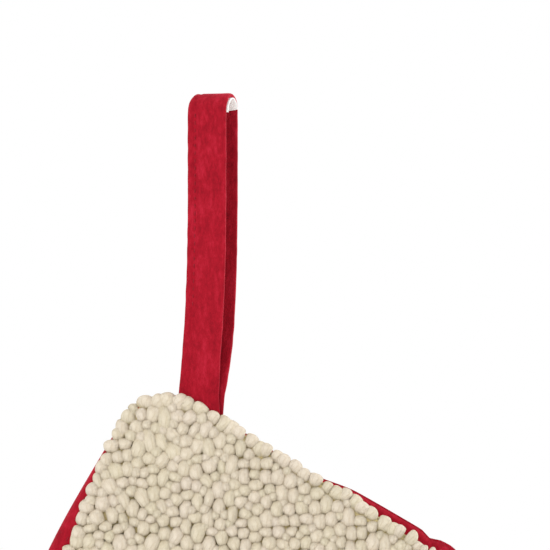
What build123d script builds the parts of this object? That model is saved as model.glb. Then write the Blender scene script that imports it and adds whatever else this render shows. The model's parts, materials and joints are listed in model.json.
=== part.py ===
from build123d import *
import math
import os

# Hanging stocking: a flat two-walled cloth bag with a hooked wool front, hung by a folded strap.
# Millimetres. +Z is up as the stocking hangs, +X runs to the toe side, and the pile faces -Y.
# The origin is the axis of the hook or peg that carries the loop, inside the loop's crown.

# The hanging loop
STRAP_WIDTH = 20.0
STRAP_THICKNESS = 2.4
TAPE_THICKNESS = 0.6
HOOK_RADIUS = 6.0
CROWN_YAW = -20.0
LEAF_STRAIGHT = 86.0
LEAF_GAP = 0.3
TAPE_SHIFT = 0.8
TAPE_DROP = 1.0
TAIL_LENGTH = 34.0
FOOT_HEIGHT = 14.0

# How the stocking hangs, and where its top corner at the loop side lies
HANG_ANGLE = 30.3
CORNER_X = -29.9
CORNER_Z = -125.2
LOOP_INSET = 24.4
HINGE_CLEARANCE = 0.3
SWAY_CLEARANCE = 0.4

# The outline, measured along the mouth and at right angles to it
MOUTH_WIDTH = 175.0
INSTEP_POINT = (170.0, -138.0)
TOE_TOP_POINT = (312.0, -150.0)
TOE_TIP_POINT = (340.0, -266.0)
HEEL_POINT = (-4.0, -334.0)
LOOP_CORNER_RADIUS = 24.0
FAR_CORNER_RADIUS = 10.0
INSTEP_RADIUS = 55.0
TOE_TOP_RADIUS = 52.0
TOE_TIP_RADIUS = 58.0
HEEL_RADIUS = 72.0

# The layers, from the front to the back
PILE_THICKNESS = 6.5
PILE_INSET = 2.4
FOUNDATION_THICKNESS = 1.2
LINING_THICKNESS = 0.6
BAG_DEPTH = 21.0
PANEL_THICKNESS = 1.5
SIDE_ROUNDING = 9.0

# The sewing
STITCH_LENGTH = 3.2
STITCH_PITCH = 5.5
THREAD = 0.5
HEM_STITCH_DROP = 7.0
EDGE_STITCH_INSET = 2.6
TACK_PITCH = 2.0
TACK_DROPS = (14.0, 21.0)

# How far a block that shapes or trims another runs past it
OVERRUN = 60.0

LINING_FACE_Y = -STRAP_THICKNESS
LINING_FRONT_Y = LINING_FACE_Y - LINING_THICKNESS
FOUNDATION_FRONT_Y = LINING_FRONT_Y - FOUNDATION_THICKNESS
BACK_LINING_Y = LINING_FACE_Y + BAG_DEPTH
BACK_PANEL_Y = BACK_LINING_Y + LINING_THICKNESS
BACK_FACE_Y = BACK_PANEL_Y + PANEL_THICKNESS

COS_HANG = math.cos(math.radians(HANG_ANGLE))
SIN_HANG = math.sin(math.radians(HANG_ANGLE))
FOLD_HEIGHT = STRAP_THICKNESS + HINGE_CLEARANCE

# The crown's inner face is the tape, so the strap runs just outside it
STRAP_INNER_RADIUS = HOOK_RADIUS + TAPE_THICKNESS
LEAF_HALF_SPACING = STRAP_INNER_RADIUS + STRAP_THICKNESS / 2


def hung(along, up):
    """X and Z of a point given along the mouth and square to it."""
    return (
        CORNER_X + along * COS_HANG + up * SIN_HANG,
        CORNER_Z - along * SIN_HANG + up * COS_HANG,
    )


def fold_point():
    """X and Z of the fold's axis, where the strap's centre line crosses it."""
    along = (LOOP_INSET - FOLD_HEIGHT * SIN_HANG) / COS_HANG
    return hung(along, FOLD_HEIGHT)


FOLD_X, FOLD_Z = fold_point()
SWAY_Z = FOLD_Z + FOOT_HEIGHT


def stocking_plane(y):
    """The plane at depth y whose x runs along the mouth; it faces the front."""
    return Plane(
        origin=(CORNER_X, y, CORNER_Z),
        x_dir=(COS_HANG, 0, -SIN_HANG),
        z_dir=(0, -1, 0),
    )


def rounded_face(corners):
    """A flat face with the given corner points, each rounded by its own radius."""
    face = make_face(Polyline([point for point, _ in corners], close=True))
    for point, radius in corners:
        if radius:
            corner = face.vertices().sort_by_distance((*point, 0))[0]
            face = fillet(corner, radius)
    return face


def side_at(mouth_x, lower_point, height):
    """The point at a height on the side that runs from the mouth to a lower point."""
    lower_x, lower_up = lower_point
    return (mouth_x + (mouth_x - lower_x) * height / -lower_up, height)


def outline(top_height, left_radius, right_radius):
    return rounded_face(
        [
            (side_at(0.0, HEEL_POINT, top_height), left_radius),
            (side_at(MOUTH_WIDTH, INSTEP_POINT, top_height), right_radius),
            (INSTEP_POINT, INSTEP_RADIUS),
            (TOE_TOP_POINT, TOE_TOP_RADIUS),
            (TOE_TIP_POINT, TOE_TIP_RADIUS),
            (HEEL_POINT, HEEL_RADIUS),
        ]
    )


def full_outline():
    return outline(0.0, LOOP_CORNER_RADIUS, FAR_CORNER_RADIUS)


def layer(face, front_y, back_y):
    """The face, standing in the stocking's plane, made solid between two depths."""
    placed = stocking_plane(back_y) * face
    return extrude(placed, amount=back_y - front_y, dir=(0, -1, 0))


def bag_block(inset, front_y, back_y):
    """The stocking's body as a solid block, open above the mouth, rounded at the back."""
    face = offset(outline(OVERRUN, 0.0, 0.0), amount=-inset)
    block = layer(face, front_y, back_y)
    back_edges = block.faces().sort_by(Axis.Y)[-1].edges()
    return fillet(back_edges, SIDE_ROUNDING - inset)


def bag_shell(inset, thickness, front_y, back_y):
    """One cloth shell of the back: its wall wraps round the sides to the front edge."""
    outer = bag_block(inset, front_y, back_y)
    inner = bag_block(inset + thickness, front_y - OVERRUN, back_y - thickness)
    mouth_trim = layer(full_outline(), front_y, back_y)
    return (outer - inner) & mouth_trim


def front_layer(inset, front_y, back_y):
    face = offset(full_outline(), amount=-inset)
    return layer(face, front_y, back_y)


def hooked_pile():
    return front_layer(PILE_INSET, FOUNDATION_FRONT_Y - PILE_THICKNESS, FOUNDATION_FRONT_Y)


def foundation_cloth():
    return front_layer(PANEL_THICKNESS, FOUNDATION_FRONT_Y, LINING_FRONT_Y)


def front_lining():
    return front_layer(PANEL_THICKNESS, LINING_FRONT_Y, LINING_FACE_Y)


def back_panel():
    return bag_shell(0.0, PANEL_THICKNESS, FOUNDATION_FRONT_Y, BACK_FACE_Y)


def back_lining():
    return bag_shell(PANEL_THICKNESS, LINING_THICKNESS, LINING_FACE_Y, BACK_PANEL_Y)


def half_space(up, above):
    """A large block on one side of a line parallel to the mouth."""
    reach = 4 * MOUTH_WIDTH
    centre = up + reach / 2 if above else up - reach / 2
    face = Pos(0, centre) * Rectangle(reach, reach)
    return layer(face, -MOUTH_WIDTH, MOUTH_WIDTH)


def side_seam_thread():
    """The seam that closes the panel's edge round the front, from below one top corner to the other."""
    edge_gap = (PANEL_THICKNESS - THREAD) / 2
    outer = offset(outline(OVERRUN, 0.0, 0.0), amount=-edge_gap)
    inner = offset(outline(OVERRUN, 0.0, 0.0), amount=-edge_gap - THREAD)
    ring = layer(outer - inner, FOUNDATION_FRONT_Y - THREAD, FOUNDATION_FRONT_Y)
    return ring & half_space(-LOOP_CORNER_RADIUS, False)


def hem_stitches(face_y, first, last):
    """A row of stitches below the mouth, lying on the cloth's back face at face_y."""
    count = int((last - first) / STITCH_PITCH)
    row = []
    for index in range(count):
        along = first + (index + 0.5) * STITCH_PITCH
        stitch = Pos(along, -HEM_STITCH_DROP) * Rectangle(STITCH_LENGTH, THREAD)
        row.append(layer(stitch, face_y, face_y + THREAD))
    return Compound(children=row)


def front_hem_stitching():
    first = (LOOP_INSET + STRAP_WIDTH) / COS_HANG
    last = MOUTH_WIDTH - FAR_CORNER_RADIUS
    return hem_stitches(LINING_FACE_Y, first, last)


def back_hem_stitching():
    last = MOUTH_WIDTH - FAR_CORNER_RADIUS
    return hem_stitches(BACK_FACE_Y, LOOP_CORNER_RADIUS, last)


def leaf_lean(z):
    """How far a leaf has leant sideways, in its own plane, at height z."""
    return FOLD_X * z / SWAY_Z / math.cos(math.radians(CROWN_YAW))


def upper_section(z, side):
    """The cross-section of one leaf's straight upper stretch, as a flat face."""
    turn = Plane.XY.offset(z) * Rot(0, 0, CROWN_YAW)
    return turn * Pos(leaf_lean(z), side * LEAF_HALF_SPACING) * Rectangle(STRAP_WIDTH, STRAP_THICKNESS)


def leaf(side):
    """One leaf of the loop, from the crown down to where both leaves lie together."""
    together = (STRAP_THICKNESS + LEAF_GAP) / 2
    top = upper_section(0.0, side)
    middle = upper_section(-LEAF_STRAIGHT, side)
    bottom = Pos(FOLD_X, side * together, SWAY_Z) * Rectangle(STRAP_WIDTH, STRAP_THICKNESS)
    return loft([top, middle], ruled=True) + loft([middle, bottom], ruled=True)


def half_ring(inner_radius, thickness, width, shift):
    """Half a ring over the hook, its width along the hook."""
    reach = 4 * inner_radius
    ring = Circle(inner_radius + thickness) - Circle(inner_radius)
    upper = Pos(0, reach / 2) * Rectangle(2 * reach, reach)
    face = Plane(origin=(shift, 0, 0), x_dir=(0, 1, 0), z_dir=(1, 0, 0)) * (ring & upper)
    return Rot(0, 0, CROWN_YAW) * extrude(face, amount=width / 2, both=True)


def sway_disc(radius):
    """A short cylinder along Y about the sway axis, as wide as the whole strap is deep."""
    place = Plane(origin=(FOLD_X, 0, SWAY_Z), z_dir=(0, -1, 0))
    return extrude(place * Circle(radius), amount=STRAP_WIDTH, both=True)


def loop_strap():
    crown = half_ring(STRAP_INNER_RADIUS, STRAP_THICKNESS, STRAP_WIDTH, 0.0)
    return crown + leaf(-1) + leaf(1) - sway_disc(STRAP_WIDTH / 2 + SWAY_CLEARANCE)


def crown_tape():
    crown = half_ring(HOOK_RADIUS, TAPE_THICKNESS, STRAP_WIDTH, TAPE_SHIFT)
    drop = Pos(TAPE_SHIFT, HOOK_RADIUS + TAPE_THICKNESS / 2, -TAPE_DROP / 2)
    end = Rot(0, 0, CROWN_YAW) * drop * Box(STRAP_WIDTH, TAPE_THICKNESS, TAPE_DROP)
    return crown + end


def strap_slab(low_z, high_z):
    """The two leaves together, straight up and down, between two heights."""
    height = high_z - low_z
    middle = Pos(FOLD_X, 0, (low_z + high_z) / 2)
    return middle * Box(STRAP_WIDTH, STRAP_THICKNESS * 2, height)


def loop_foot():
    """Both leaves sewn together: round at the top for the sway, at the bottom for the fold."""
    tongue = strap_slab(FOLD_Z - STRAP_WIDTH, SWAY_Z) & half_space(FOLD_HEIGHT, True)
    top = sway_disc(STRAP_WIDTH / 2) & strap_slab(SWAY_Z, SWAY_Z + STRAP_WIDTH)
    roll_place = Plane(origin=(FOLD_X, 0, FOLD_Z), z_dir=(COS_HANG, 0, -SIN_HANG))
    roll = extrude(roll_place * Circle(STRAP_THICKNESS), amount=STRAP_WIDTH, both=True)
    roll = roll & strap_slab(FOLD_Z - STRAP_WIDTH, FOLD_Z + STRAP_WIDTH)
    return tongue + top + roll


def loop_tail():
    """The strap's two ends inside the mouth, sewn to the front wall."""
    slab = strap_slab(FOLD_Z - TAIL_LENGTH, FOLD_Z + STRAP_WIDTH)
    return slab & half_space(0.0, False)


def loop_bar_tack():
    """Two short rows of stitches over the tail."""
    row = []
    count = int(STRAP_WIDTH / TACK_PITCH) - 1
    for drop in TACK_DROPS:
        for index in range(count):
            x = FOLD_X + (index - (count - 1) / 2) * TACK_PITCH
            place = Pos(x, STRAP_THICKNESS + THREAD / 2, FOLD_Z - drop)
            row.append(place * Box(THREAD, THREAD, STITCH_LENGTH))
    return Compound(children=row)


def loop_edge_stitching():
    """Stitches down the front leaf, just inside the edge away from the toe."""
    row = []
    count = int((LEAF_STRAIGHT - STITCH_PITCH) / STITCH_PITCH)
    for index in range(count):
        z = -(index + 1) * STITCH_PITCH
        across = leaf_lean(z) + EDGE_STITCH_INSET - STRAP_WIDTH / 2
        out = -LEAF_HALF_SPACING - STRAP_THICKNESS / 2 - THREAD / 2
        place = Rot(0, 0, CROWN_YAW) * Pos(across, out, z)
        row.append(place * Box(THREAD, THREAD, STITCH_LENGTH))
    return Compound(children=row)


NODES = {
    "hooked_pile": hooked_pile,
    "foundation_cloth": foundation_cloth,
    "front_lining": front_lining,
    "back_panel": back_panel,
    "back_lining": back_lining,
    "side_seam_thread": side_seam_thread,
    "front_hem_stitching": front_hem_stitching,
    "back_hem_stitching": back_hem_stitching,
    "loop_strap": loop_strap,
    "crown_tape": crown_tape,
    "loop_edge_stitching": loop_edge_stitching,
    "loop_foot": loop_foot,
    "loop_tail": loop_tail,
    "loop_bar_tack": loop_bar_tack,
}

os.makedirs("parts", exist_ok=True)
for node, make in NODES.items():
    export_step(make(), f"parts/{node}.step")
print("fold axis through", round(FOLD_X, 3), round(FOLD_Z, 3), "sway axis at", round(SWAY_Z, 3))
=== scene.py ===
import json
import math
import random

import bmesh
import bpy
import numpy as np
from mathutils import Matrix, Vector, geometry, noise


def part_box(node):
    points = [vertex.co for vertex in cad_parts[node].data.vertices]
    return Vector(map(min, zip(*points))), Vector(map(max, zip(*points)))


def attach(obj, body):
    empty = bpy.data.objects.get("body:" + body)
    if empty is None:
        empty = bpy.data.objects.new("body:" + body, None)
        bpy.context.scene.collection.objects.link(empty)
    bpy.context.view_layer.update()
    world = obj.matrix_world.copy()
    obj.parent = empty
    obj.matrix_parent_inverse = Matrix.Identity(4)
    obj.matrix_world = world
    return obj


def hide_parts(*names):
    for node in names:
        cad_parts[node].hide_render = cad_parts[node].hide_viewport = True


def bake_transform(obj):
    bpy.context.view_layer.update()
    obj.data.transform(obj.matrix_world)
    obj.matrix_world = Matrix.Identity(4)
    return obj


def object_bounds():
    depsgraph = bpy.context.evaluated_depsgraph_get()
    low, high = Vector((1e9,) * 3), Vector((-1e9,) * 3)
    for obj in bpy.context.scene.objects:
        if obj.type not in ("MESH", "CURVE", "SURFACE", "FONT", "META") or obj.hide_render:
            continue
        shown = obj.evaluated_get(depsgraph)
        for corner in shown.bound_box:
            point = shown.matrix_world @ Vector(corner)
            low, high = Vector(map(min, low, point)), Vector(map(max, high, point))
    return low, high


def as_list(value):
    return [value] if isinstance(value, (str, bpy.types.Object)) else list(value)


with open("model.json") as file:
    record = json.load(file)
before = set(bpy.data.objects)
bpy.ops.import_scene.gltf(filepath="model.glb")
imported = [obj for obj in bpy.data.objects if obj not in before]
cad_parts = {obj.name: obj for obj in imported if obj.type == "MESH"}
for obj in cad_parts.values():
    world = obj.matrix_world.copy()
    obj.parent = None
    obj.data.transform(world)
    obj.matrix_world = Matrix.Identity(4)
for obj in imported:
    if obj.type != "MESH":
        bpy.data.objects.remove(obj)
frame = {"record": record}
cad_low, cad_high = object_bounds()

# Everything is in metres, in the frame of the CAD model: +Z up as the stocking hangs, the pile facing -Y.
# Most of the stocking is worked out in its own plane: "along" runs along the mouth towards the toe side,
# "up" is square to it, and depth is the frame's Y.

MM = 0.001
random.seed(11)
np.random.seed(11)

JOINTS = {joint["name"]: joint for joint in frame["record"]["behaviour"]["joints"]}
FOLD_AT = Vector(JOINTS["loop_fold"]["pos_m"])
SWAY_AT = Vector(JOINTS["loop_sway"]["pos_m"])
ALONG = Vector(JOINTS["loop_fold"]["axis"]).normalized()
UP = Vector((-ALONG.z, 0.0, ALONG.x))
CLAMP = frame["record"]["mounts"][0]
ACROSS = Vector(CLAMP["axis"]).normalized()
HOOK_RADIUS = CLAMP["dims"]["r_mm"] * MM

# The outline: each corner point with the radius that rounds it
CORNER = Vector((-0.0299, 0.0, -0.1252))
MOUTH_WIDTH = 0.175
LOOP_CORNER = (0.0, 0.0, 0.024)
FAR_CORNER = (MOUTH_WIDTH, 0.0, 0.007)
INSTEP = (0.170, -0.138, 0.055)
TOE_TOP = (0.312, -0.150, 0.052)
TOE_TIP = (0.340, -0.266, 0.058)
HEEL = (-0.004, -0.334, 0.072)
CORNERS = (LOOP_CORNER, FAR_CORNER, INSTEP, TOE_TOP, TOE_TIP, HEEL)
OUTLINE_STEP = 0.0026

# How far the cloth strays from that outline, where, and over what spread
MOUTH_SAG, SAG_ALONG, SAG_SPREAD = 0.0014, 0.083, 0.026
PINCH, PINCH_ALONG, PINCH_SPREAD = 0.0018, 0.1573, 0.0034
ANKLE_EASE, ANKLE_UP, ANKLE_SPREAD = 0.0040, -0.132, 0.036

# How wide the velveteen's lip shows on the front
LIP_BY_LOOP = 0.0002
LIP_HEEL_SIDE = 0.0078
LIP_INSTEP = 0.0048
LIP_MOUTH = 0.0013
PANEL_DROP = 0.0024

# The layers: where their faces lie in Y, how they round off, and how thick they are
SEAM_Y = 0.0022
FRONT_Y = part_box("foundation_cloth")[0][1]
BACK_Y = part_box("back_panel")[1][1] - 0.0008
FRONT_ROUNDING = 0.017
BACK_ROUNDING = 0.027
PANEL_THICKNESS = 0.0014
CANVAS_THICKNESS = 0.0009
LINING_THICKNESS = 0.0005
FACING_THICKNESS = 0.0008
FACING_DEPTH = 0.019
CLOTH_GRID = 0.0042
TO_FRONT, TO_BACK = (0, -1, 0), (0, 1, 0)

# The strap
STRAP_WIDTH = 0.0193
STRAP_THICKNESS = 0.0024
TAPE_ROOM = 0.6 * MM
LEAF_SPACING = HOOK_RADIUS + TAPE_ROOM + STRAP_THICKNESS / 2


def link(name, mesh):
    obj = bpy.data.objects.new(name, mesh)
    bpy.context.scene.collection.objects.link(obj)
    return obj


def make_mesh(name, points, faces):
    mesh = bpy.data.meshes.new(name)
    mesh.from_pydata([tuple(map(float, p)) for p in points], [], [tuple(map(int, f)) for f in faces])
    mesh.update()
    mesh.polygons.foreach_set("use_smooth", [True] * len(mesh.polygons))
    return link(name, mesh)


def net_faces(rows, columns, start=0, closed=False):
    """Quads over rows of points; closed joins the last column to the first."""
    faces = []
    for row in range(rows - 1):
        for k in range(columns if closed else columns - 1):
            a = start + row * columns + k
            b = start + row * columns + (k + 1) % columns
            faces.append((a, b, b + columns, a + columns))
    return faces


def place(along, up, y):
    """The frame's point for a point in the stocking's own plane."""
    point = CORNER + ALONG * along + UP * up
    return Vector((point.x, y, point.z))


def place_all(along, up, y):
    """The same for arrays, as rows of x, y, z."""
    x = CORNER.x + along * ALONG.x + up * UP.x
    z = CORNER.z + along * ALONG.z + up * UP.z
    return np.stack([x, y, z], axis=1)


def smooth_step(value, low, high):
    t = np.clip((value - low) / (high - low), 0.0, 1.0)
    return t * t * (3 - 2 * t)


def field(x, z, scale, shift):
    """A smooth random value from -1 to 1 over the frame's X and Z."""
    return noise.noise(Vector((x / scale, shift, z / scale)))


# -------------------------------- the outline


def corner_arc(before, corner, after):
    """The tangent arc that rounds one corner, as a list of points."""
    at = Vector(corner[:2])
    into = (at - Vector(before[:2])).normalized()
    out = (Vector(after[:2]) - at).normalized()
    turn = into.angle_signed(out)
    radius = corner[2]
    reach = radius * math.tan(abs(turn) / 2)
    side = 1.0 if turn > 0 else -1.0
    start = at - into * reach
    centre = start + side * Vector((into.y, -into.x)) * radius
    count = max(3, int(radius * abs(turn) / OUTLINE_STEP))
    points = []
    for index in range(count + 1):
        angle = -turn * index / count
        spoke = start - centre
        cos, sin = math.cos(angle), math.sin(angle)
        turned = Vector((spoke.x * cos - spoke.y * sin, spoke.x * sin + spoke.y * cos))
        points.append(centre + turned)
    return points


def outline_path():
    """The closed outline, with how many of its first points belong to the mouth."""
    following = CORNERS[1:] + CORNERS[:1]
    arcs = [corner_arc(CORNERS[i - 1], corner, following[i]) for i, corner in enumerate(CORNERS)]
    path = []
    mouth = 0
    for index, arc in enumerate(arcs):
        path += arc
        nxt = arcs[(index + 1) % len(arcs)][0]
        gap = (nxt - arc[-1]).length
        steps = max(1, round(gap / OUTLINE_STEP))
        path += [arc[-1].lerp(nxt, k / steps) for k in range(1, steps)]
        if index == 1:
            mouth = len(path) - steps + 1
    return np.array([tuple(p) for p in path]), mouth


def bell(value, middle, spread):
    """A smooth bump: 1 at the middle, and next to nothing two spreads away."""
    return np.exp(-((value - middle) / spread) ** 2)


def eased(path, mouth_count):
    """The cloth's own ease: the mouth sags, its far corner is pinched, and the ankle draws in."""
    along, up = path.T.copy()
    mouth = np.arange(len(path)) < mouth_count
    sag = MOUTH_SAG * bell(along, SAG_ALONG, SAG_SPREAD)
    pinch = PINCH * bell(along, PINCH_ALONG, PINCH_SPREAD)
    path[:, 1] -= mouth * (sag + pinch)
    at_ankle = (along < 0.060) * (up > -0.260)
    path[:, 0] += at_ankle * ANKLE_EASE * bell(up, ANKLE_UP, ANKLE_SPREAD)
    return path


OUTLINE, MOUTH_COUNT = outline_path()
OUTLINE = eased(OUTLINE, MOUTH_COUNT)
LEFT_ARC = len(corner_arc(HEEL, LOOP_CORNER, FAR_CORNER)) // 2
SEWN = np.concatenate([OUTLINE[MOUTH_COUNT - 1:], OUTLINE[:LEFT_ARC]])


def inward_normals(path):
    """The unit normal at each point of a closed path, towards its inside."""
    ahead = np.roll(path, -1, axis=0) - np.roll(path, 1, axis=0)
    ahead /= np.linalg.norm(ahead, axis=1)[:, None]
    return np.stack([ahead[:, 1], -ahead[:, 0]], axis=1)


INWARD = inward_normals(OUTLINE)


def distance_to(points, path, closed=False):
    """The distance of each point from a polyline."""
    start = path if closed else path[:-1]
    end = np.roll(path, -1, axis=0) if closed else path[1:]
    run = end - start
    length = (run ** 2).sum(axis=1)
    best = np.full(len(points), 9.0)
    for a, r, l in zip(start, run, length):
        t = np.clip(((points - a) @ r) / l, 0.0, 1.0)
        gap = points - (a + t[:, None] * r)
        best = np.minimum(best, (gap ** 2).sum(axis=1))
    return np.sqrt(best)


def inside(points, polygon):
    """Which points lie inside a closed polygon."""
    x, y = points[:, 0], points[:, 1]
    result = np.zeros(len(points), bool)
    ends = np.roll(polygon, -1, axis=0)
    for (ax, ay), (bx, by) in zip(polygon, ends):
        if ay == by:
            continue
        crosses = (ay > y) != (by > y)
        result ^= crosses & (x < (bx - ax) * (y - ay) / (by - ay) + ax)
    return result


def lip_width(path):
    """How far the velveteen shows on the front, inside each point of the outline."""
    along, up = path[:, 0], path[:, 1]
    left = LIP_BY_LOOP + LIP_HEEL_SIDE * smooth_step(-up, 0.032, 0.100)
    left = np.where(along < 0.088, left, LIP_HEEL_SIDE)
    below = LIP_HEEL_SIDE - 0.0030 * smooth_step(along, 0.02, 0.12)
    width = np.where(up < -0.150, below, left)
    right = LIP_INSTEP - 0.0010 * smooth_step(up, -0.10, 0.0)
    width = np.where((along > 0.120) & (up > -0.150), right, width)
    top = LIP_MOUTH + 0.0029 * smooth_step(along, 0.100, 0.150)
    near_mouth = smooth_step(up, -0.012, -0.002)
    return np.where(along > 0.012, width * (1 - near_mouth) + top * near_mouth, width)


LIP = lip_width(OUTLINE)


def panel_border():
    """The back panel's edge: the outline, drawn down behind the pile at the loop's end of the mouth."""
    along, up = OUTLINE.T
    behind_pile = (1 - smooth_step(along, 0.092, 0.116)) * smooth_step(up, -0.030, -0.016)
    return OUTLINE + INWARD * (PANEL_DROP * behind_pile)[:, None]


def front_depth(points):
    """The Y of the front wall's face: flat, and rolling back to the side seam."""
    reach = np.clip(distance_to(points, SEWN) / FRONT_ROUNDING, 0.0, 1.0)
    rise = np.sqrt(1 - (1 - reach) ** 2)
    return SEAM_Y + (FRONT_Y - SEAM_Y) * rise


def creases(along, up):
    """Soft folds of the back cloth: drag lines from the loop's corner and gathers at the instep."""
    drag = math.atan2(-up - 0.004, along - 0.004)
    reach = math.hypot(along, up)
    fade = math.exp(-((reach - 0.13) / 0.10) ** 2)
    folds = 0.0022 * math.sin(drag * 13.0 + 2.0) * fade
    past, above = along - 0.172, up + 0.125
    bend, gap = math.atan2(above, past), math.hypot(past, above)
    folds += 0.0028 * math.sin(bend * 7.0) * math.exp(-((gap - 0.045) / 0.035) ** 2)
    folds += 0.0022 * field(along, up, 0.050, 0.3) + 0.0009 * field(along, up, 0.020, 0.7)
    return folds


def back_depth(points):
    """The Y of the back wall's outer face."""
    away = distance_to(points, SEWN)
    reach = np.clip(away / BACK_ROUNDING, 0.0, 1.0)
    rise = np.sqrt(1 - (1 - reach) ** 2)
    folds = np.array([creases(a, u) for a, u in points])
    return SEAM_Y + (BACK_Y - SEAM_Y - 0.0022) * rise + folds * smooth_step(away, 0.004, 0.022)


RING_STEPS = (0.0, 0.0003, 0.0009, 0.0019, 0.0033, 0.0050, 0.0070)


def flat_net(border, normals, grid=CLOTH_GRID):
    """A triangle net over a closed border: fine rings by the edge, then an even grid."""
    rings = [border + normals * step for step in RING_STEPS]
    low, high = border.min(axis=0), border.max(axis=0)
    rows = []
    for row, up in enumerate(np.arange(low[1], high[1], grid * 0.866)):
        shift = grid / 2 if row % 2 else 0.0
        rows += [(a + shift, up) for a in np.arange(low[0], high[0], grid)]
    rows = np.array(rows)
    rows = rows[inside(rows, border)]
    rows = rows[distance_to(rows, border, closed=True) > RING_STEPS[-1] + grid * 0.45]
    points = np.concatenate(rings + [rows])
    count = len(border)
    edges = [(k, (k + 1) % count) for k in range(count)]
    out = geometry.delaunay_2d_cdt([Vector(p) for p in points], edges, [], 1, 1e-6)
    return np.array([tuple(v) for v in out[0]]), out[2]


def border_inside(margin):
    """The outline moved inwards by a margin, one value or one for each of its points."""
    shift = np.broadcast_to(np.asarray(margin, float), (len(OUTLINE),))
    return OUTLINE + INWARD * shift[:, None]


def thicken(obj, thickness, offset):
    solid = obj.modifiers.new("thickness", "SOLIDIFY")
    solid.thickness = thickness
    solid.offset = offset
    solid.use_even_offset = False
    apply_modifiers(obj)


def apply_modifiers(obj):
    graph = bpy.context.evaluated_depsgraph_get()
    done = bpy.data.meshes.new_from_object(obj.evaluated_get(graph))
    obj.modifiers.clear()
    obj.data = done


def face_towards(obj, direction):
    """Turns the mesh's faces so that most of them look in a direction."""
    total = sum((p.normal * p.area for p in obj.data.polygons), Vector())
    if total.dot(Vector(direction)) < 0:
        obj.data.flip_normals()


# -------------------------------- materials


def srgb(red, green, blue):
    """A colour given in display values from 0 to 255, as the shader wants it."""
    def linear(value):
        value /= 255
        return value / 12.92 if value <= 0.04045 else ((value + 0.055) / 1.055) ** 2.4
    return (linear(red), linear(green), linear(blue), 1.0)


class Nodes:
    """A short way to write a material's node tree."""

    def __init__(self, name, roughness, specular=0.2):
        self.material = bpy.data.materials.new(name)
        self.material.use_nodes = True
        self.tree = self.material.node_tree
        self.shader = next(n for n in self.tree.nodes if n.type == "BSDF_PRINCIPLED")
        self.shader.inputs["Roughness"].default_value = roughness
        self.shader.inputs["Specular IOR Level"].default_value = specular

    def add(self, kind, **inputs):
        node = self.tree.nodes.new("ShaderNode" + kind)
        for name, value in inputs.items():
            self.set(node, name.replace("_", " "), value)
        return node

    def set(self, node, name, value):
        socket = node.inputs[int(name) if name.isdigit() else name]
        if isinstance(value, bpy.types.NodeSocket):
            self.tree.links.new(value, socket)
        else:
            socket.default_value = value

    def coordinates(self, scale, source="Object"):
        return self.stretched(self.add("TexCoord").outputs[source], scale)

    def stretched(self, vector, scale):
        mapping = self.add("Mapping", Vector=vector)
        mapping.inputs["Scale"].default_value = scale
        return mapping.outputs["Vector"]

    def noise(self, vector, scale=1.0, detail=3.0, roughness=0.55):
        node = self.add("TexNoise", Vector=vector, Scale=scale, Detail=detail, Roughness=roughness)
        return node.outputs["Fac"]

    def ramp(self, value, stops):
        node = self.add("ValToRGB", Fac=value)
        while len(node.color_ramp.elements) < len(stops):
            node.color_ramp.elements.new(0.5)
        for element, (position, colour) in zip(node.color_ramp.elements, stops):
            element.position = position
            element.color = colour
        return node.outputs["Color"]

    def mix(self, factor, first, second, blend="MIX"):
        node = self.tree.nodes.new("ShaderNodeMix")
        node.data_type = "RGBA"
        node.blend_type = blend
        for name, value in (("Factor_Float", factor), ("A_Color", first), ("B_Color", second)):
            socket = next(s for s in node.inputs if s.identifier == name)
            if isinstance(value, bpy.types.NodeSocket):
                self.tree.links.new(value, socket)
            else:
                socket.default_value = value
        return next(s for s in node.outputs if s.identifier == "Result_Color")

    def math(self, operation, first, second=0.0):
        node = self.tree.nodes.new("ShaderNodeMath")
        node.operation = operation
        self.set(node, "0", first)
        self.set(node, "1", second)
        return node.outputs[0]

    def bump(self, height, strength, distance, before=None):
        node = self.add("Bump", Height=height, Strength=strength, Distance=distance)
        if before is not None:
            self.tree.links.new(before, node.inputs["Normal"])
        return node.outputs["Normal"]

    def attribute(self, name):
        node = self.add("Attribute")
        node.attribute_name = name
        return node.outputs["Fac"]

    def shaded(self, factor, colour, value, dark, light, low=0.3, high=0.7):
        """The colour darkened and lightened by a value, in soft light."""
        return self.mix(factor, colour, self.ramp(value, [(low, dark), (high, light)]), "SOFT_LIGHT")

    def finish(self, colour, normal=None):
        self.set(self.shader, "Base Color", colour)
        if normal is not None:
            self.tree.links.new(normal, self.shader.inputs["Normal"])
        return self.material


def sheen(nodes, weight, roughness, tint):
    nodes.shader.inputs["Sheen Weight"].default_value = weight
    nodes.shader.inputs["Sheen Roughness"].default_value = roughness
    nodes.shader.inputs["Sheen Tint"].default_value = tint


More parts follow.
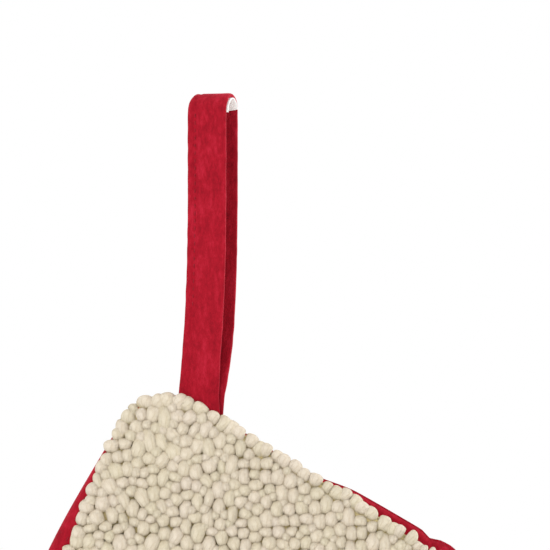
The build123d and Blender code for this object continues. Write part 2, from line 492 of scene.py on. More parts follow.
def wool_material():
    """Cream wool: soft and matte, with loose fibres along the yarn, a fuzzy skin, and its low points
    painted yellower and darker: partly the roots' own tone, partly painted shade in the valleys between
    loops.
    """
    n = Nodes("wool", roughness=0.95, specular=0.08)
    sheen(n, 0.20, 0.7, srgb(255, 250, 242))
    dye = n.noise(n.coordinates((1 / 0.045,) * 3), 1.0, 2.0, 0.5)
    tint = n.math("MULTIPLY", n.attribute("tint"), 0.45)
    shade = n.math("ADD", tint, n.math("MULTIPLY", dye, 0.55))
    base = n.ramp(shade, [
        (0.15, srgb(205, 195, 169)),
        (0.50, srgb(211, 199, 178)),
        (0.85, srgb(213, 200, 184)),
    ])
    twisted = n.coordinates((1.0, 1.0, 1.0), "UV")
    strands = n.noise(n.stretched(twisted, (34.0, 3.4, 1.0)), 1.0, 4.0, 0.62)
    hairs = n.noise(n.stretched(twisted, (95.0, 11.0, 1.0)), 1.0, 3.0, 0.6)
    fuzz = n.noise(n.coordinates((1 / 0.0006,) * 3), 1.0, 4.0, 0.68)
    colour = n.shaded(0.75, base, strands, srgb(150, 146, 138), srgb(222, 222, 222))
    colour = n.shaded(0.30, colour, fuzz, srgb(150, 146, 138), srgb(226, 226, 226))
    # Yellower roots plus painted shade: each loop darker towards its bottom, in the valleys between loops
    root_tone_and_valley_shade = n.ramp(n.attribute("depth"), [
        (0.00, srgb(222, 214, 172)),
        (0.35, srgb(241, 237, 214)),
        (0.75, srgb(255, 255, 255)),
    ])
    colour = n.mix(0.85, colour, root_tone_and_valley_shade, "MULTIPLY")
    normal = n.bump(strands, 0.95, 0.0012)
    normal = n.bump(hairs, 0.60, 0.0004, normal)
    normal = n.bump(fuzz, 0.55, 0.0005, normal)
    return n.finish(colour, normal)


def velveteen_material():
    """Red cotton velveteen: short brushed nap that lies in patches and catches the light at its edges."""
    n = Nodes("velveteen", roughness=0.88, specular=0.15)
    sheen(n, 0.50, 0.30, srgb(255, 100, 125))
    clouds = n.noise(n.coordinates((1 / 0.006, 1 / 0.006, 1 / 0.014)), 1.0, 2.0, 0.5)
    patches = n.noise(n.coordinates((1 / 0.0015, 1 / 0.0015, 1 / 0.0034)), 1.0, 4.0, 0.62)
    nap = n.noise(n.coordinates((1 / 0.0005, 1 / 0.0005, 1 / 0.0011)), 1.0, 3.0, 0.6)
    colour = n.ramp(n.math("ADD", n.math("MULTIPLY", clouds, 0.45), n.math("MULTIPLY", patches, 0.55)), [
        (0.34, srgb(136, 5, 26)),
        (0.50, srgb(155, 12, 33)),
        (0.68, srgb(174, 28, 50)),
    ])
    colour = n.shaded(0.30, colour, nap, srgb(70, 60, 62), srgb(190, 186, 188))
    normal = n.bump(patches, 0.40, 0.0006)
    normal = n.bump(nap, 0.5, 0.0003, normal)
    return n.finish(colour, normal)


def woven_material(name, dark, light, pitch):
    """A plain weave in the stocking's own directions: threads over and under each other."""
    n = Nodes(name, roughness=0.9, specular=0.15)
    where = n.add("TexCoord").outputs["Object"]
    turn = n.add("Mapping", Vector=where)
    turn.inputs["Rotation"].default_value = (0.0, math.atan2(ALONG.z, ALONG.x), 0.0)
    parts = n.add("SeparateXYZ", Vector=turn.outputs["Vector"])
    step = math.pi / pitch
    warp = n.math("SINE", n.math("MULTIPLY", parts.outputs["X"], step))
    weft = n.math("SINE", n.math("MULTIPLY", parts.outputs["Z"], step))
    weave = n.math("MULTIPLY_ADD", n.math("MULTIPLY", warp, weft), 0.5)
    weave.node.inputs[2].default_value = 0.5
    slub = n.noise(n.coordinates((1 / 0.004, 1 / 0.004, 1 / 0.0015)), 1.0, 3.0, 0.6)
    colour = n.mix(slub, dark, light)
    colour = n.shaded(0.25, colour, weave, srgb(90, 90, 90), srgb(180, 180, 180), 0.0, 1.0)
    normal = n.bump(weave, 0.55, pitch * 0.35)
    return n.finish(colour, n.bump(slub, 0.3, 0.0002, normal))


def thread_material():
    """Red sewing thread with its twist."""
    n = Nodes("red_thread", roughness=0.6, specular=0.3)
    sheen(n, 0.2, 0.4, srgb(255, 150, 160))
    twist = n.add("TexWave", Vector=n.coordinates((1.0, 1.0, 1.0), "UV"), Scale=3.0, Distortion=0.4)
    colour = n.ramp(twist.outputs["Fac"], [(0.0, srgb(140, 8, 29)), (1.0, srgb(168, 20, 43))])
    return n.finish(colour, n.bump(twist.outputs["Fac"], 0.5, 0.0001))


def tape_material():
    """White cotton twill tape: fine diagonal ribs."""
    n = Nodes("twill_tape", roughness=0.85, specular=0.15)
    parts = n.add("SeparateXYZ", Vector=n.coordinates((1.0, 1.0, 1.0)))
    slant = n.math("ADD", parts.outputs["X"], parts.outputs["Z"])
    ribs = n.math("SINE", n.math("MULTIPLY", slant, 2 * math.pi / 0.0009))
    soil = n.noise(n.coordinates((1 / 0.003,) * 3), 1.0, 3.0, 0.5)
    colour = n.ramp(soil, [(0.3, srgb(229, 229, 225)), (0.7, srgb(241, 242, 240))])
    return n.finish(colour, n.bump(ribs, 0.35, 0.0002))


def matte_material(name, colour):
    """A plain matte paint with a faint cloud in it."""
    n = Nodes(name, roughness=0.9, specular=0.1)
    cloud = n.noise(n.coordinates((1 / 0.4,) * 3), 1.0, 2.0, 0.5)
    shade = tuple(c * 0.985 for c in colour[:3]) + (1.0,)
    return n.finish(n.mix(cloud, shade, colour))


WOOL = wool_material()
VELVETEEN = velveteen_material()
CANVAS = woven_material("canvas", srgb(206, 196, 146), srgb(222, 212, 168), 0.0011)
LINING = woven_material("lining_cotton", srgb(214, 202, 182), srgb(232, 222, 204), 0.00045)
THREAD = thread_material()
TAPE = tape_material()


def finish_piece(obj, material, slot, body, *nodes):
    """Material, the body it rides on and the CAD nodes it stands for; the record slot is not used."""
    obj.data.materials.clear()
    obj.data.materials.append(material)
    if body:
        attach(obj, body)
    if nodes:
        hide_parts(*nodes)
    return obj


# -------------------------------- the cloth walls


def wall(name, margin, depth, material, slot, node, facing, thickness):
    """One cloth sheet of the bag over the inset outline, given its depth and its thickness."""
    flat, faces = flat_net(border_inside(margin), INWARD)
    obj = make_mesh(name, place_all(flat[:, 0], flat[:, 1], depth(flat)), faces)
    face_towards(obj, facing)
    thicken(obj, thickness, -1.0)
    return finish_piece(obj, material, slot, "stocking", node)


def mouth_margin(sewn_margin, mouth_gap):
    """A wall's margin at each outline point: even where it is sewn, and below the lip along the mouth."""
    margin = np.full(len(OUTLINE), sewn_margin)
    margin[:MOUTH_COUNT] = LIP[:MOUTH_COUNT] + mouth_gap
    return np.minimum(margin, 0.006)


def velvet_panel():
    """The back panel: the back, the sides, and the lip that wraps on to the front."""
    edge = panel_border()
    flat, faces = flat_net(edge, INWARD)
    points = [place_all(flat[:, 0], flat[:, 1], back_depth(flat))]
    faces = [tuple(f) for f in faces]
    order = list(range(MOUTH_COUNT - 1, len(OUTLINE))) + list(range(LEFT_ARC))
    border, normals = edge[order], INWARD[order]
    lip = LIP[order]
    width = np.maximum(lip, 0.0004) + 0.0030 * smooth_step(lip, 0.0, 0.0025)
    shares = (0.0, 0.03, 0.10, 0.22, 0.40, 0.62, 0.82, 1.0)
    for share in shares:
        ring = border + normals * (width * share)[:, None]
        raised = PANEL_THICKNESS * min(1.0, share / 0.22)
        points.append(place_all(ring[:, 0], ring[:, 1], front_depth(ring) - raised))
    faces += net_faces(len(shares), len(order), len(flat))
    obj = make_mesh("back_panel", np.concatenate(points), faces)
    weld(obj)
    thicken(obj, PANEL_THICKNESS, -1.0)
    return finish_piece(obj, VELVETEEN, "red_velveteen", "stocking", "back_panel")


def weld(obj, distance=0.00002):
    """Joins points that coincide, and turns the faces outwards."""
    shape = bmesh.new()
    shape.from_mesh(obj.data)
    bmesh.ops.remove_doubles(shape, verts=shape.verts, dist=distance)
    bmesh.ops.recalc_face_normals(shape, faces=shape.faces)
    shape.to_mesh(obj.data)
    shape.free()
    top = max(obj.data.polygons, key=lambda p: p.center.y)
    if top.normal.y < 0:
        obj.data.flip_normals()


def hem_facing():
    """The velveteen turned down inside the back of the mouth, above the lining."""
    across = np.linspace(0.0135, MOUTH_WIDTH - 0.0075, 64)
    drops = np.linspace(0.0006, FACING_DEPTH, 9)
    edge = panel_border()[:MOUTH_COUNT]
    top = np.interp(across, edge[:, 0], edge[:, 1])
    rows = []
    for drop in drops:
        wave = 0.0004 * np.sin(across * 210.0 + drop * 90.0)
        up = top - drop + wave * (drop > 0.01)
        flat = np.stack([across, up], axis=1)
        y = back_depth(flat) - PANEL_THICKNESS - 0.0012 * min(1.0, drop / 0.003)
        rows.append(place_all(across, up, y))
    faces = net_faces(len(drops), len(across))
    obj = make_mesh("back_hem_facing", np.concatenate(rows), faces)
    face_towards(obj, TO_FRONT)
    thicken(obj, FACING_THICKNESS, -1.0)
    return finish_piece(obj, VELVETEEN, "red_velveteen", "stocking")


# -------------------------------- the hooked wool

LOOP_PITCH = 0.0057
LOOP_LENGTH = 0.0067
LOOP_HEIGHT = 0.0060
LOOP_SUNK = 0.0011
EDGE_STANDOFF = 0.0025
EDGE_PITCH = 0.94

# One loop's mesh; the hidden sides are the coarse ones underneath
LOOP_RINGS = 13
LOOP_SIDES = 18
HIDDEN_SIDES = 3

# How loops lean out over the edges and roll over the mouth
SLOPE_STEP = 0.0006
STEEPEST = 1.1
ROLL_REACH = 0.0085

# The mat that the loops' feet make
ROOT_RISE = 0.0013
ROOT_THICKNESS = 0.0010

# Settling: how many others each loop feels, how often and how strongly, and the gaps that get a loop
NEIGHBOURS = 12
SETTLE_STEPS = 16
SETTLE_SHARE = 0.42
GAP_GRID = 0.0012
WIDE_GAP, LAST_GAP = 0.72, 0.60
FAR = 9.0

ZONE_UPS = (-0.058, -0.112, -0.160)
ZONE_ALONGS = (0.060, 0.115, 0.170, 0.225)
PILE_ZONES = ("cuff", "leg", "ankle", "heel", "arch", "foot", "toe", "tip")


def to_plane(x, z):
    """Along and up for the frame's X and Z, as rows."""
    dx, dz = x - CORNER.x, z - CORNER.z
    return np.stack([dx * ALONG.x + dz * ALONG.z, dx * UP.x + dz * UP.z], axis=-1)


def to_frame(points):
    """The frame's X and Z for rows of along and up."""
    return points @ np.array([[ALONG.x, ALONG.z], [UP.x, UP.z]]) + (CORNER.x, CORNER.z)


def loop_shape():
    """One yarn loop as a unit bean along its own Y: points, angles round it, faces and UVs."""
    top = np.linspace(-0.11, 1.11, LOOP_SIDES - HIDDEN_SIDES) * math.pi
    under = np.linspace(1.11, 1.89, HIDDEN_SIDES + 2)[1:-1] * math.pi
    turns = np.concatenate([top, under])
    last = LOOP_RINGS - 1
    points, uvs = [], []
    for ring in range(LOOP_RINGS):
        lengthwise = math.pi * ring / last
        y, radius = -math.cos(lengthwise), max(math.sin(lengthwise), 0.001) ** 0.62
        y = math.copysign(abs(y) ** 0.9, y)
        points += [(radius * math.cos(turn), y, radius * math.sin(turn)) for turn in turns]
    for ring in range(last):
        near, far = ring / last, (ring + 1) / last
        for side in range(LOOP_SIDES):
            u = turns[side] / (2 * math.pi)
            v = u + ((turns[(side + 1) % LOOP_SIDES] - turns[side]) % (2 * math.pi)) / (2 * math.pi)
            uvs += [(u, near), (v, near), (v, far), (u, far)]
    faces = net_faces(LOOP_RINGS, LOOP_SIDES, closed=True)
    return np.array(points), np.tile(turns, LOOP_RINGS), np.array(faces), np.array(uvs)


def pile_border():
    """The line that the outermost row of loops is centred on, eased in at the loop's corner."""
    ease = 0.0026 * bell(OUTLINE[:, 0], 0.006, 0.013) * smooth_step(OUTLINE[:, 1], -0.020, -0.004)
    return OUTLINE + INWARD * (LIP + EDGE_STANDOFF + ease)[:, None]


def resample(path, pitch):
    """Points spaced nearly evenly round a closed path."""
    closed = np.concatenate([path, path[:1]])
    steps = np.linalg.norm(np.diff(closed, axis=0), axis=1)
    reach = np.concatenate([[0.0], np.cumsum(steps)])
    count = int(reach[-1] / pitch)
    at = (np.arange(count) + 0.30 * np.random.uniform(-1, 1, count)) * reach[-1] / count
    return np.stack([np.interp(at % reach[-1], reach, closed[:, k]) for k in (0, 1)], axis=1)


def freedom(x):
    """How loosely the loops are laid: from 1 by the heel side to little on the toe side."""
    return 1.0 - 0.70 * smooth_step(x, -0.030, 0.040)


def column_loops(border):
    """Loops hooked in upright rows: the frame's X and Z, the width and the length of each."""
    rows = []
    for column in range(int((cad_high.x - cad_low.x) / LOOP_PITCH) + 2):
        z = cad_low.z + random.uniform(0.0, LOOP_LENGTH)
        while z < cad_high.z:
            x = cad_low.x + column * LOOP_PITCH
            free = float(freedom(x))
            length = LOOP_LENGTH * max(0.66, random.gauss(1.0, 0.12 + 0.16 * free))
            x += free * 0.0050 * field(x, z, 0.040, 1.3) + 0.0014 * field(x, z, 0.13, 5.1)
            x += random.gauss(0.0, 0.0003 + 0.0007 * free)
            width = LOOP_PITCH * random.gauss(1.0, 0.05 + 0.07 * free)
            rows.append((x, z + length / 2, width, length))
            z += length * 0.97
    rows = np.array(rows)
    flat = to_plane(rows[:, 0], rows[:, 1])
    kept = inside(flat, border) & (distance_to(flat, border, closed=True) > LOOP_PITCH * 0.45)
    return rows[kept]


def closest(rows):
    """The nearest few loops to each, by distance as a share of the room that the two take up."""
    gaps = rows[:, None, :2] - rows[None, :, :2]
    room = (rows[:, None, 2:] + rows[None, :, 2:]) / 2
    spans = ((gaps / room) ** 2).sum(axis=2) + FAR * np.eye(len(rows))
    return np.argpartition(spans, NEIGHBOURS, axis=1)[:, :NEIGHBOURS]


def settle(rows, fixed, border):
    """Eases crowded loops apart, keeping the border row where it is."""
    others = closest(rows)
    for _ in range(SETTLE_STEPS):
        gaps = rows[:, None, :2] - rows[others, :2]
        room = (rows[:, None, 2:] + rows[others, 2:]) / 2
        near = np.clip(1.0 - np.sqrt(((gaps / room) ** 2).sum(axis=2)), 0.0, 1.0)
        rows[fixed:, :2] += (gaps * near[:, :, None]).sum(axis=1)[fixed:] * SETTLE_SHARE
    flat = to_plane(rows[:, 0], rows[:, 1])
    kept = inside(flat, border) & (distance_to(flat, border, closed=True) > LOOP_PITCH * 0.50)
    kept[:fixed] = True
    return rows[kept]


def fill_gaps(rows, border, widest):
    """Adds a loop wherever a gap is wider than a share of a loop, the widest gap first."""
    low, high = border.min(axis=0), border.max(axis=0)
    along, up = np.meshgrid(*(np.arange(a, b, GAP_GRID) for a, b in zip(low, high)))
    spots = np.stack([along.ravel(), up.ravel()], axis=1)
    spots = to_frame(spots[inside(spots, border)])
    whole = (LOOP_PITCH, LOOP_LENGTH)
    room = (rows[:, 2:] + whole) / 2
    nearest = np.full(len(spots), FAR)
    for at, reach in zip(rows[:, :2], room):
        nearest = np.minimum(nearest, (((spots - at) / reach) ** 2).sum(axis=1))
    added = []
    while nearest.max() > widest ** 2:
        spot = spots[nearest.argmax()]
        share = min(0.95, 1.15 * float(nearest.max()) ** 0.5)
        added.append((spot[0], spot[1], LOOP_PITCH * share, LOOP_LENGTH * share))
        nearest = np.minimum(nearest, (((spots - spot) / whole) ** 2).sum(axis=1))
    return np.concatenate([rows, np.array(added)]) if added else rows


def loop_rows():
    """Every loop of the pile as X, Z, width and length, the border row first, and that row's count."""
    border = pile_border()
    edge = to_frame(resample(border, LOOP_PITCH * EDGE_PITCH))
    edge += np.random.normal(0.0, 0.00035, edge.shape)
    sizes = np.random.normal(1.0, 0.13, (len(edge), 2)) * (LOOP_PITCH, LOOP_LENGTH * EDGE_PITCH)
    rows = np.concatenate([np.concatenate([edge, sizes], axis=1), column_loops(border)])
    for _ in range(3):
        rows = fill_gaps(settle(rows, len(edge), border), border, WIDE_GAP)
    return fill_gaps(settle(rows, len(edge), border), border, LAST_GAP), len(edge)


def slope(places, step):
    """How fast the front's Y changes along a short step, at each place."""
    run = 2 * max(step)
    return (front_depth(places + step) - front_depth(places - np.array(step))) / run


def loop_places(rows):
    """Where each loop stands in the stocking's plane, its base point and its outward direction."""
    places = to_plane(rows[:, 0], rows[:, 1])
    mouth = OUTLINE[:MOUTH_COUNT]
    slopes = slope(places, (SLOPE_STEP, 0.0)), slope(places, (0.0, SLOPE_STEP))
    drop = distance_to(places, mouth) - np.interp(places[:, 0], mouth[:, 0], LIP[:MOUTH_COUNT])
    roll = np.clip(1.0 - drop / ROLL_REACH, 0.0, 1.0)
    for at, y, tilt_along, tilt_up, turn in zip(places, front_depth(places), *slopes, roll):
        tilt = Vector((float(tilt_along), float(tilt_up)))
        if tilt.length > STEEPEST:
            tilt *= STEEPEST / tilt.length
        out = (Vector(TO_FRONT) + ALONG * tilt.x + UP * tilt.y).normalized()
        out = (out + UP * (0.80 * float(turn))).normalized()
        yield at, place(at[0], at[1], float(y) + 0.0016 * float(turn)), out


def loop_frame(spot, out, near_mouth):
    """The rotation of one loop: its own X across, its Y along its yarn and its Z outwards."""
    free = float(freedom(spot.x))
    run = Vector((0.0, 0.0, 1.0))
    sway = math.radians(44.0 * free) * field(spot.x, spot.z, 0.020, 8.0)
    sway += math.radians(random.gauss(0.0, 6.0 + 12.0 * free))
    if near_mouth:
        run, sway = UP, sway * 0.5
    side = run.cross(out).normalized()
    along = out.cross(side).normalized()
    turned = along * math.cos(sway) + side * math.sin(sway)
    return np.array([turned.cross(out).normalized(), turned, out])


def pile_zone(along, up):
    """Which of PILE_ZONES a loop belongs to: bands down the leg, then bands along the foot."""
    if up > ZONE_UPS[-1]:
        return next(k for k, level in enumerate(ZONE_UPS) if up > level)
    return len(ZONE_UPS) + sum(along > level for level in ZONE_ALONGS)


def bent_loop(shape, around, width, length, height):
    """The unit bean at its size, bent, tapered and a little lumpy, with its ends tucked down."""
    phase, twist = random.uniform(0, 6.28), random.uniform(-1.2, 1.2)
    lengthwise = shape[:, 1]
    lump = 1.0 + 0.060 * np.sin(2 * around + phase + 2.0 * lengthwise)
    lump += 0.030 * np.sin(3 * around - phase + 3 * twist * lengthwise)
    lump += 0.022 * np.sin(5 * around + 2 * phase + 2.6 * lengthwise)
    lump += 0.012 * np.sin(4 * around + 7.0 * lengthwise + 3 * phase)
    local = shape * (width / 2, length / 2, height / 2)
    local[:, 0] *= lump * (1.0 - 0.14 * math.sin(phase) * lengthwise)
    local[:, 2] *= lump
    bow = 0.12 * width * math.cos(phase * 3) * (lengthwise ** 2 - 0.4)
    local[:, 0] += random.gauss(0.0, 0.12) * local[:, 2] + bow
    local[:, 2] -= 0.24 * height * lengthwise ** 2
    return local


def hooked_pile():
    """The mat of the loops' feet, and every yarn loop, gathered into one mesh for each zone."""
    shape, around, faces, uvs = loop_shape()
    zones = [[] for _ in PILE_ZONES]
    rows, edge_count = loop_rows()
    for index, (at, spot, out) in enumerate(loop_places(rows)):
        on_edge = index < edge_count
        axes = loop_frame(spot, out, on_edge and at[1] > -0.016)
        fullness = 1.12 + 0.16 * math.exp(-(math.hypot(*at) / 0.055) ** 2)
        width, length = rows[index, 2] * fullness, rows[index, 3] * fullness
        height = LOOP_HEIGHT * random.gauss(0.95 if on_edge else 1.0, 0.07)
        local = bent_loop(shape, around, width, length, height)
        points = local @ axes + np.array(spot + out * (height * 0.5 - LOOP_SUNK))
        # Each point's depth in its loop, which the wool turns into yellower roots and painted shade in
        # the valleys between loops
        deep = np.clip((local[:, 2] + height * 0.30) / (height * 0.62), 0.0, 1.0)
        zones[pile_zone(*at)].append((points, deep, random.random()))
    roots = wall(
        "pile_roots", LIP + EDGE_STANDOFF, lambda p: front_depth(p) - ROOT_RISE,
        WOOL, "wool_pile", "hooked_pile", TO_FRONT, ROOT_THICKNESS,
    )
    return [roots] + [pile_mesh(name, loops, faces, uvs) for name, loops in zip(PILE_ZONES, zones)]


def pile_mesh(name, loops, faces, uvs):
    """One zone's loops as a mesh with each loop's tint and each point's depth."""
    count = len(loops[0][0])
    points = np.concatenate([p for p, _, _ in loops])
    quads = np.concatenate([faces + count * k for k in range(len(loops))])
    mesh = bpy.data.meshes.new("pile_" + name)
    mesh.vertices.add(len(points))
    mesh.vertices.foreach_set("co", points.ravel())
    mesh.loops.add(quads.size)
    mesh.loops.foreach_set("vertex_index", quads.ravel())
    mesh.polygons.add(len(quads))
    mesh.polygons.foreach_set("loop_start", np.arange(0, quads.size, 4))
    mesh.polygons.foreach_set("use_smooth", np.ones(len(quads), bool))
    mesh.update(calc_edges=True)
    layer = mesh.uv_layers.new(name="yarn")
    layer.uv.foreach_set("vector", np.tile(uvs, (len(loops), 1)).ravel())
    tint = mesh.attributes.new("tint", "FLOAT", "POINT")
    tint.data.foreach_set("value", np.repeat([t for _, _, t in loops], count))
    depth = mesh.attributes.new("depth", "FLOAT", "POINT")
    depth.data.foreach_set("value", np.concatenate([d for _, d, _ in loops]))
    mesh.validate()
    return finish_piece(link("pile_" + name, mesh), WOOL, "wool_pile", "stocking", "hooked_pile")


# -------------------------------- the hanging loop

# Heights between which the leaves close up, come level side by side, and turn square to the bag
CLOSING = (-0.088, -0.136)
LEVELLING = (-0.110, -0.165)
TURNING = (-0.118, -0.146)
LEAN_POWER = 4.0
TAIL_END = FOLD_AT.z - 0.034
SPLIT_Z = (FOLD_AT.z + SWAY_AT.z) / 2
EDGE_SEAM = 0.0038
SECTION = 72
CROWN_STEPS = 18
CROWN_DROOP = 0.0016
LEAF_STEP = 0.0016
TAPE_THICKNESS = 0.0005


def leaf_place(z, side):
    """One leaf at height z: its middle, the way across it and the way out of it; side 1 is the front."""
    closing, level, turn = (
        float(smooth_step(np.float64(-z), -high, -low)) for high, low in (CLOSING, LEVELLING, TURNING)
    )
    turned = ACROSS.lerp(Vector((1.0, 0.0, 0.0)), turn).normalized()
    skew = LEAF_SPACING * ACROSS.y * (1 - level) * side
    spread = LEAF_SPACING * ACROSS.x * (1 - closing) + (STRAP_THICKNESS / 2 + 0.00005) * closing
    lean = FOLD_AT.x * (z / FOLD_AT.z) ** LEAN_POWER if z > FOLD_AT.z else FOLD_AT.x
    middle = Vector((lean + skew, -spread * side, z))
    return middle, turned, Vector((turned.y, -turned.x, 0.0)) * side


def strap_section():
    """The folded strip's section: fuller at its edges, with a groove along its line of stitches."""
    half, seam = STRAP_WIDTH / 2, EDGE_SEAM - STRAP_WIDTH / 2
    ring = []
    for k in range(SECTION):
        turn = 2 * math.pi * k / SECTION
        cos, sin = math.cos(turn), math.sin(turn)
        x = math.copysign(abs(cos) ** 0.32, cos) * STRAP_WIDTH / 2
        flat = abs(x) / half
        y = math.copysign(abs(sin) ** 0.45, sin) * STRAP_THICKNESS / 2 * (0.82 + 0.20 * flat ** 3)
        groove = math.exp(-((x - seam) / 0.0010) ** 2)
        roll = math.exp(-((x + half - 0.0019) / 0.0014) ** 2)
        ring.append((x, y * (1 - 0.42 * groove + 0.26 * roll)))
    return ring


def leaf_path(low_z, high_z, side):
    """Centre, across and outward directions up one leaf: side 1 is the front leaf, -1 the back."""
    path = []
    for z in np.linspace(low_z, high_z, max(3, round((high_z - low_z) / LEAF_STEP))):
        path.append(leaf_place(min(float(z), 0.0), side))
    return path


def crown_out(angle):
    """Outwards at an angle round the crown, from 0 at the front leaf."""
    level = Vector((ACROSS.y, -ACROSS.x, 0.0))
    return level * math.cos(angle) + Vector((0, 0, 1)) * math.sin(angle)


def strap_path():
    """Up the front leaf, over the crown and down the back leaf."""
    path = leaf_path(SPLIT_Z, 0.0, 1)[:-1]
    for k in range(CROWN_STEPS + 1):
        out = crown_out(math.pi * k / CROWN_STEPS)
        path.append((out * LEAF_SPACING, ACROSS, out))
    return path + leaf_path(SPLIT_Z, 0.0, -1)[-2::-1]


def swept(path, section, shift=0):
    """The section carried along the path, with two ends whose points are their own."""
    points = []
    count, half = len(section), STRAP_WIDTH / 2
    for centre, across, out in path:
        for x, y in section:
            droop = CROWN_DROOP * max(0.0, out.z) * max(0.0, (-x / half - 0.55) / 0.45) ** 2
            soft = 0.00016 * field(centre.x + across.x * x, centre.z, 0.007, centre.y / 0.007)
            edge = 0.00035 * field(math.copysign(1.0, x), centre.z, 0.009, 3.0) * (abs(x) / half) ** 4
            points.append(centre + across * (x + math.copysign(edge, x)) + out * (y + soft - droop))
    faces = net_faces(len(path), count, closed=True)
    end = len(points)
    points += points[:count] + points[-count:]
    faces.append(tuple(reversed(range(end, end + count))))
    faces.append(tuple(range(end + count, end + 2 * count)))
    return points, [tuple(k + shift for k in face) for face in faces]


def hanging_loop():
    """The strap above its foot as one skin, and the foot and tail, still two leaves, as another."""
    section = strap_section()
    upper = make_mesh("loop_strap", *swept(strap_path(), section))
    finish_piece(upper, VELVETEEN, "red_velveteen", None, "loop_strap")
    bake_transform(upper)
    front_points, front_faces = swept(leaf_path(TAIL_END, SPLIT_Z, 1), section)
    back_points, back_faces = swept(leaf_path(TAIL_END, SPLIT_Z, -1), section, len(front_points))
    lower = make_mesh("loop_foot", front_points + back_points, front_faces + back_faces)
    finish_piece(lower, VELVETEEN, "red_velveteen", None, "loop_foot", "loop_tail")
    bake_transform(lower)


def crown_tape():
    """The white twill tape inside the crown: a strip with a slanted end low on the back leaf."""
    radius = HOOK_RADIUS + 0.0003
    steps, columns = 40, 14
    points = []
    for k in range(steps + 1):
        for c in range(columns + 1):
            share = c / columns
            x = (share - 0.5) * STRAP_WIDTH + 0.0007
            first, last = -0.10, math.pi + 0.22 - 0.42 * share
            angle = first + (last - first) * k / steps
            ripple = 0.00010 * math.sin(share * 9.0 + angle * 3.0)
            points.append(ACROSS * x + crown_out(angle) * (radius + ripple))
    obj = make_mesh("crown_tape", points, net_faces(steps + 1, columns + 1))
    thicken(obj, TAPE_THICKNESS, 0.0)
    return finish_piece(obj, TAPE, "twill_tape", "loop", "crown_tape")


# -------------------------------- stitches


# Each line of stitches: its pitch, the length of a stitch and the thread's radius
EDGE_LINE = (0.0036, 0.0024, 0.00019)
TACK_LINE = (0.0019, 0.0040, 0.00022)
HEM_LINE = (0.0042, 0.0029, 0.00022)
SEAM_STITCH, SEAM_RADIUS = 0.0030, 0.00018
TACK_DROPS = (0.0140, 0.0210)
TACK_COUNT = 10
HEM_UP = -0.0115


def stitches(name, spots, radius, body):
    """Short threads that sink in at both ends: (middle, direction, outward, length) each."""
    sides, rings = 8, 9
    points, faces = [], []
    for middle, run, out, length in spots:
        side = run.cross(out).normalized()
        base = len(points)
        for r in range(rings):
            t = 2 * r / (rings - 1) - 1
            thick = radius * max(0.05, (1 - abs(t) ** 3) ** 0.5)
            centre = middle + run * (t * length / 2) + out * (radius * (0.9 - 1.5 * t * t))
            for s in range(sides):
                turn = 2 * math.pi * s / sides
                ring = side * (thick * math.cos(turn)) + out * (thick * math.sin(turn))
                points.append(centre + ring)
        faces += net_faces(rings, sides, base, closed=True)
        faces.append(tuple(reversed(range(base, base + sides))))
        faces.append(tuple(range(base + (rings - 1) * sides, base + rings * sides)))
    obj = make_mesh(name, points, faces)
    weld(obj, 0.0000001)
    return finish_piece(obj, THREAD, "red_thread", body, name)


def loop_edge_stitching():
    """The line that closes the folded strip, just in from the edge of the front leaf."""
    spots = []
    low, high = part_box("loop_edge_stitching")
    pitch, length, radius = EDGE_LINE
    for k in range(int((high.z - low.z + 0.020) / pitch)):
        z = -0.002 - k * pitch
        centre, turned, out = leaf_place(z, 1)
        middle = centre + out * (STRAP_THICKNESS * 0.30) + turned * (EDGE_SEAM - STRAP_WIDTH / 2)
        spots.append((middle, Vector((0.02, 0, 1)).normalized(), out, length))
    return stitches("loop_edge_stitching", spots, radius, "loop")


def bar_tack():
    """Two rows of close stitches that hold the tail to the front wall."""
    spots = []
    pitch, length, radius = TACK_LINE
    for drop in TACK_DROPS:
        for k in range(TACK_COUNT):
            x = FOLD_AT.x + (k - (TACK_COUNT - 1) / 2) * pitch
            middle = Vector((x, STRAP_THICKNESS, FOLD_AT.z - drop))
            slant = Vector((0.35 if k % 2 else -0.35, 0, 1)).normalized()
            spots.append((middle, slant, Vector(TO_BACK), length))
    return stitches("loop_bar_tack", spots, radius, "stocking")


def hem_row(name, first, last, depth):
    """A row of stitches below the mouth, from one place along it to another, at a wall's depth."""
    spots = []
    pitch, length, radius = HEM_LINE
    for k in range(int((last - first) / pitch)):
        along = first + (k + 0.5) * pitch
        y = float(depth(np.array([[along, HEM_UP]]))[0])
        spots.append((place(along, HEM_UP, y), ALONG, Vector(TO_BACK), length))
    return stitches(name, spots, radius, "stocking")


def side_seam():
    """The slip stitches that hold the velveteen's turned edge along the side of the pile."""
    spots = []
    for k in range(MOUTH_COUNT, len(OUTLINE), 2):
        ahead = OUTLINE[(k + 1) % len(OUTLINE)] - OUTLINE[k - 1]
        ahead /= np.linalg.norm(ahead)
        flat = OUTLINE[k] + INWARD[k] * max(0.0010, LIP[k] * 0.80)
        y = float(front_depth(flat[None])[0]) - PANEL_THICKNESS
        run = (ALONG * float(ahead[0]) + UP * float(ahead[1])).normalized()
        inwards = ALONG * float(INWARD[k][0]) + UP * float(INWARD[k][1])
        out = (Vector(TO_FRONT) - inwards * 0.6).normalized()
        spots.append((place(flat[0], flat[1], y), run, out, SEAM_STITCH))
    return stitches("side_seam_thread", spots, SEAM_RADIUS, "stocking")


# -------------------------------- building it

# The picture's width at the stocking and its middle, the camera, and the floor
PICTURE_WIDTH = 0.264
PICTURE_MIDDLE = Vector((0.0298, 0.0, -0.0783))
CAMERA_DISTANCE = 1.7
SENSOR = 36.0
FLOOR_RADIUS = 3.2
FLOOR_DROP = 0.06
LAMPS_AIM = (0.02, 0.0, -0.2)


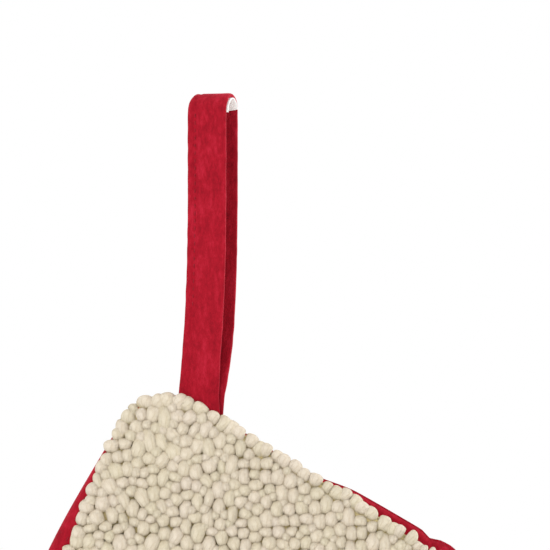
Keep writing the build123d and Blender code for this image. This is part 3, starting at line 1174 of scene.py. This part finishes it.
def linings_and_canvas():
    """The three walls inside the velveteen, each told by its margins at the seam and the mouth."""
    canvas = wall(
        "foundation_cloth", mouth_margin(0.0014, 0.0012), front_depth,
        CANVAS, "canvas", "foundation_cloth", TO_FRONT, CANVAS_THICKNESS,
    )
    front = wall(
        "front_lining", mouth_margin(0.0034, 0.0016), lambda p: front_depth(p) + 0.0014,
        LINING, "lining_cotton", "front_lining", TO_FRONT, LINING_THICKNESS,
    )
    back = wall(
        "back_lining", mouth_margin(0.0034, 0.0040),
        lambda p: back_depth(p) - PANEL_THICKNESS - 0.0003,
        LINING, "lining_cotton", "back_lining", TO_BACK, LINING_THICKNESS,
    )
    return canvas, front, back


def declare_cloth(panel, facing, canvas, front, back, pile, tape):
    """Works out the outline's width and length and lists the pile's pieces; nothing more is done with
    them.
    """
    width, length = (float(v) for v in np.ptp(OUTLINE, axis=0))
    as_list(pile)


def camera():
    """A level camera square to the front, framed as the photo is."""
    data = bpy.data.cameras.new("camera")
    data.sensor_width = SENSOR
    data.lens = SENSOR * CAMERA_DISTANCE / PICTURE_WIDTH
    data.clip_start, data.clip_end = 0.05, 50.0
    obj = link("camera", data)
    obj.location = PICTURE_MIDDLE + Vector((0.0, -CAMERA_DISTANCE, 0.0))
    obj.rotation_euler = (math.pi / 2, 0.0, 0.0)
    bpy.context.scene.camera = obj


def area_light(name, spot, size, power):
    data = bpy.data.lights.new(name, "AREA")
    data.shape = "DISK"
    data.size, data.energy = size, power
    obj = link(name, data)
    obj.location = spot
    obj.rotation_euler = (Vector(LAMPS_AIM) - Vector(spot)).to_track_quat("-Z", "Y").to_euler()


def studio():
    """A plain pale floor, a white room, and soft lamps."""
    floor_z = cad_low.z - FLOOR_DROP
    turns = np.linspace(0, 2 * math.pi, 97)[:-1]
    rim = [(FLOOR_RADIUS * math.cos(a), FLOOR_RADIUS * math.sin(a), floor_z) for a in turns]
    floor = make_mesh("floor", rim, [tuple(range(len(rim)))])
    floor.data.materials.append(matte_material("floor", srgb(246, 245, 243)))
    world = bpy.data.worlds.new("room")
    world.use_nodes = True
    back = next(n for n in world.node_tree.nodes if n.type == "BACKGROUND")
    back.inputs["Color"].default_value = (1.0, 1.0, 1.0, 1.0)
    back.inputs["Strength"].default_value = 1.0
    bpy.context.scene.world = world
    bpy.context.scene.view_settings.view_transform = "Standard"
    area_light("key", (-0.9, -1.1, 0.75), 0.8, 12.0)
    area_light("fill", (1.2, -0.9, 0.1), 1.2, 3.0)
    area_light("back", (1.5, 0.55, 0.45), 0.5, 17.0)


camera()
studio()
back_panel = velvet_panel()
facing = hem_facing()
walls = linings_and_canvas()
pile = hooked_pile()
hanging_loop()
tape = crown_tape()
loop_edge_stitching()
bar_tack()
hem_row("front_hem_stitching", 0.050, 0.164, lambda p: front_depth(p) + 0.0019)
hem_row("back_hem_stitching", 0.020, 0.164, back_depth)
side_seam()
declare_cloth(back_panel, facing, *walls, pile, tape)
